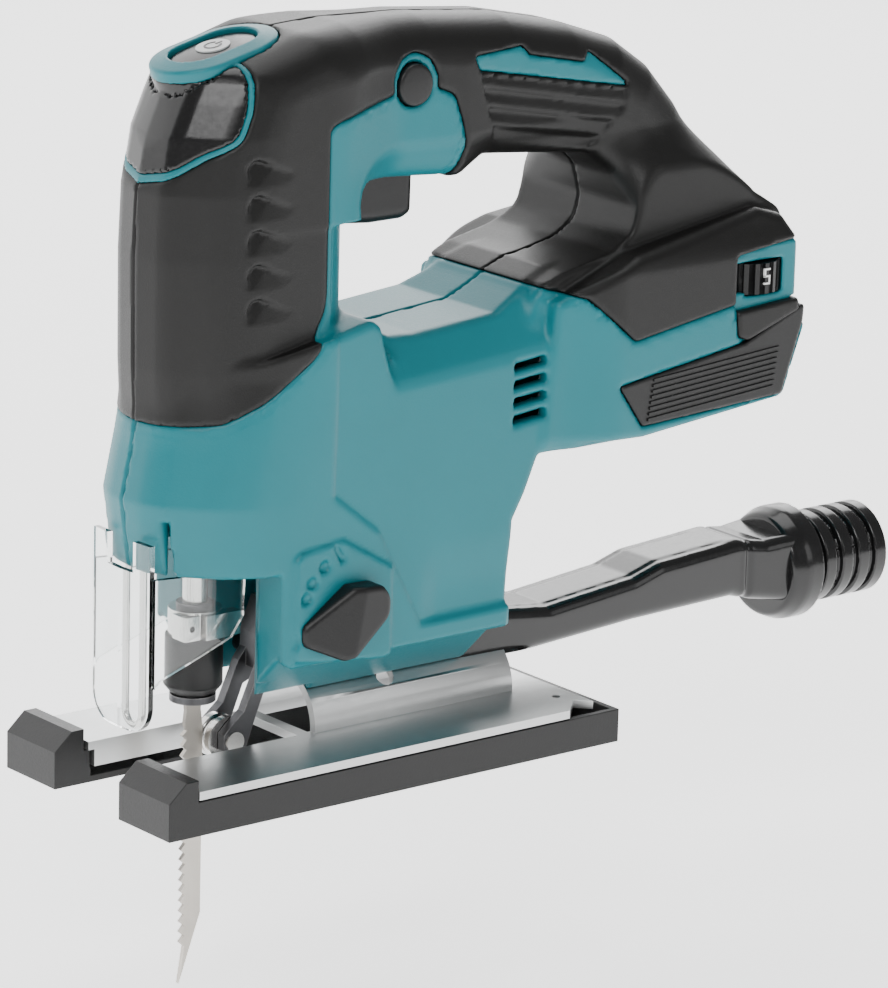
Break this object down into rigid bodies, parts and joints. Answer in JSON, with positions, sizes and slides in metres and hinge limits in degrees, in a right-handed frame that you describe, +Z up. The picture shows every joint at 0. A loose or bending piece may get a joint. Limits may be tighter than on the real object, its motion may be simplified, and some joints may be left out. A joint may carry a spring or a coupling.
{
  "type": "cordless jigsaw",
  "caption": "Handheld cordless jigsaw with D-handle, tilting shoe, tool-free blade clamp, orbital roller, clear guard, dust duct and open battery dock.",
  "frame": {"origin": "where the blade's axis crosses the plane of the sole, on the parting plane of the housing", "axes": "+X towards the rear of the tool, against the cutting direction; +Y towards the tool's right side, the side away from the orbital lever; +Z up, out of the sole"},
  "size_m": [0.291, 0.077, 0.268],
  "materials": {
    "teal_shell": "fine matt moulded nylon, teal",
    "soft_rubber": "soft overmoulded rubber, satin",
    "gloss_black": "smooth moulded plastic, glossy black",
    "black_nylon": "glass-filled nylon, matt black",
    "clear_guard": "clear moulded polycarbonate",
    "zinc_steel": "zinc-plated pressed steel",
    "bright_steel": "ground steel",
    "dark_steel": "black-oxide steel",
    "saw_steel": "rolled high-speed steel, lightly brassy at the shank",
    "cast_alloy": "die-cast aluminium",
    "bronze": "sintered bronze"
  },
  "bodies": {
    "housing": {"housing_left": "teal_shell", "housing_right": "teal_shell", "grip_left": "soft_rubber", "grip_right": "soft_rubber", "front_cap": "gloss_black", "button_bezel": "teal_shell", "dial_pin": "bright_steel", "dock_panel_left": "soft_rubber", "dock_panel_right": "soft_rubber", "dock_rails": "black_nylon", "terminal_block": "black_nylon", "terminal_blades": "bronze", "switch_box": "black_nylon", "controller_box": "black_nylon", "lamp_lens": "clear_guard", "motor_stator": "dark_steel", "front_bearing": "bright_steel", "rear_bearing": "bright_steel", "gear_housing": "cast_alloy", "gear_shaft": "bright_steel", "guide_pivot_pin": "bright_steel", "arm_pin": "bright_steel", "guard_wire": "zinc_steel", "base_bolt": "dark_steel", "clamp_plate": "zinc_steel", "dust_duct": "gloss_black", "hose_cuff": "gloss_black", "housing_screws": "dark_steel", "trigger_spring": "dark_steel"},
    "rotor": {"motor_rotor": "bright_steel", "cooling_fan": "black_nylon", "motor_pinion": "bright_steel"},
    "crank": {"crank_gear": "bright_steel", "crank_pin": "bright_steel"},
    "balance": {"balance_plate": "dark_steel"},
    "guide": {"plunger_guide": "cast_alloy", "lower_bush": "bronze", "upper_bush": "bronze", "plunger_seal": "soft_rubber"},
    "plunger": {"plunger": "bright_steel", "clamp_body": "zinc_steel", "blade": "saw_steel"},
    "collar": {"clamp_sleeve": "gloss_black", "release_lever": "zinc_steel"},
    "arm": {"roller_arm": "black_nylon", "roller_pin": "bright_steel"},
    "roller": {"guide_roller": "bright_steel"},
    "lever": {"orbital_lever": "black_nylon", "orbital_cam": "bright_steel"},
    "trigger": {"trigger": "black_nylon"},
    "lock": {"lock_button": "black_nylon"},
    "mode": {"mode_button": "gloss_black"},
    "dial": {"speed_dial": "black_nylon"},
    "shroud": {"chip_shroud": "clear_guard"},
    "shoe": {"base_plate": "zinc_steel", "sole_cover": "black_nylon"}
  },
  "joints": [
    {"name": "crank_spin", "type": "hinge", "parent": "housing", "child": "crank", "pos_m": [0.024, 0, 0.11015], "axis": [1, 0, 0], "continuous": true},
    {"name": "motor_spin", "type": "hinge", "parent": "housing", "child": "rotor", "pos_m": [0.05, 0, 0.088], "axis": [1, 0, 0], "continuous": true},
    {"name": "orbit_swing", "type": "hinge", "parent": "housing", "child": "guide", "pos_m": [0, 0, 0.146], "axis": [0, 1, 0], "range_deg": [0, 0.9], "stiffness_Nm_per_rad": 6, "springref_deg": -11.46},
    {"name": "roller_swing", "type": "hinge", "parent": "housing", "child": "arm", "pos_m": [0.025, 0, 0.033], "axis": [0, 1, 0], "range_deg": [0, 5.7]},
    {"name": "plunger_stroke", "type": "slide", "parent": "guide", "child": "plunger", "axis": [0, 0, 1], "range_m": [-0.005, 0.021]},
    {"name": "balance_slide", "type": "slide", "parent": "housing", "child": "balance", "axis": [0, 0, 1], "range_m": [-0.0066, 0.0016]},
    {"name": "roller_spin", "type": "hinge", "parent": "arm", "child": "roller", "pos_m": [0.0095, 0, 0.0115], "axis": [0, 1, 0], "continuous": true},
    {"name": "clamp_release", "type": "hinge", "parent": "plunger", "child": "collar", "pos_m": [0, 0, 0.043], "axis": [0, 0, -1], "range_deg": [0, 25], "stiffness_Nm_per_rad": 0.15, "springref_deg": -17.19},
    {"name": "orbital_select", "type": "hinge", "parent": "housing", "child": "lever", "pos_m": [0.0315, -0.031, 0.053], "axis": [0, 1, 0], "range_deg": [0, 66]},
    {"name": "trigger_pull", "type": "hinge", "parent": "housing", "child": "trigger", "pos_m": [0.042, 0, 0.171], "axis": [0, -1, 0], "range_deg": [0, 10], "stiffness_Nm_per_rad": 1.2, "springref_deg": -6.88, "deforming": ["trigger_spring"]},
    {"name": "lock_press", "type": "slide", "parent": "housing", "child": "lock", "axis": [0, 1, 0], "range_m": [0, 0.0025], "stiffness_N_per_m": 400, "springref_m": -0.003},
    {"name": "mode_press", "type": "slide", "parent": "housing", "child": "mode", "axis": [0.2419, 0, -0.9703], "range_m": [0, 0.0015], "stiffness_N_per_m": 600, "springref_m": -0.003},
    {"name": "dial_turn", "type": "hinge", "parent": "housing", "child": "dial", "pos_m": [0.1725, -0.0258, 0.1275], "axis": [0, 0, 1], "range_deg": [0, 270]},
    {"name": "shroud_slide", "type": "slide", "parent": "housing", "child": "shroud", "axis": [-0.126, 0, 0.992], "range_m": [0, 0.014]},
    {"name": "base_tilt", "type": "hinge", "parent": "housing", "child": "shoe", "pos_m": [0.06, 0, 0.013], "axis": [1, 0, 0], "range_deg": [-45, 45]}
  ],
  "couplings": [
    {"joint": "motor_spin", "follows": "crank_spin", "ratio": -4.2},
    {"joint": "roller_swing", "follows": "orbit_swing", "ratio": 6.26},
    {"joint": "balance_slide", "follows": "plunger_stroke", "ratio": -0.30769}
  ]
}
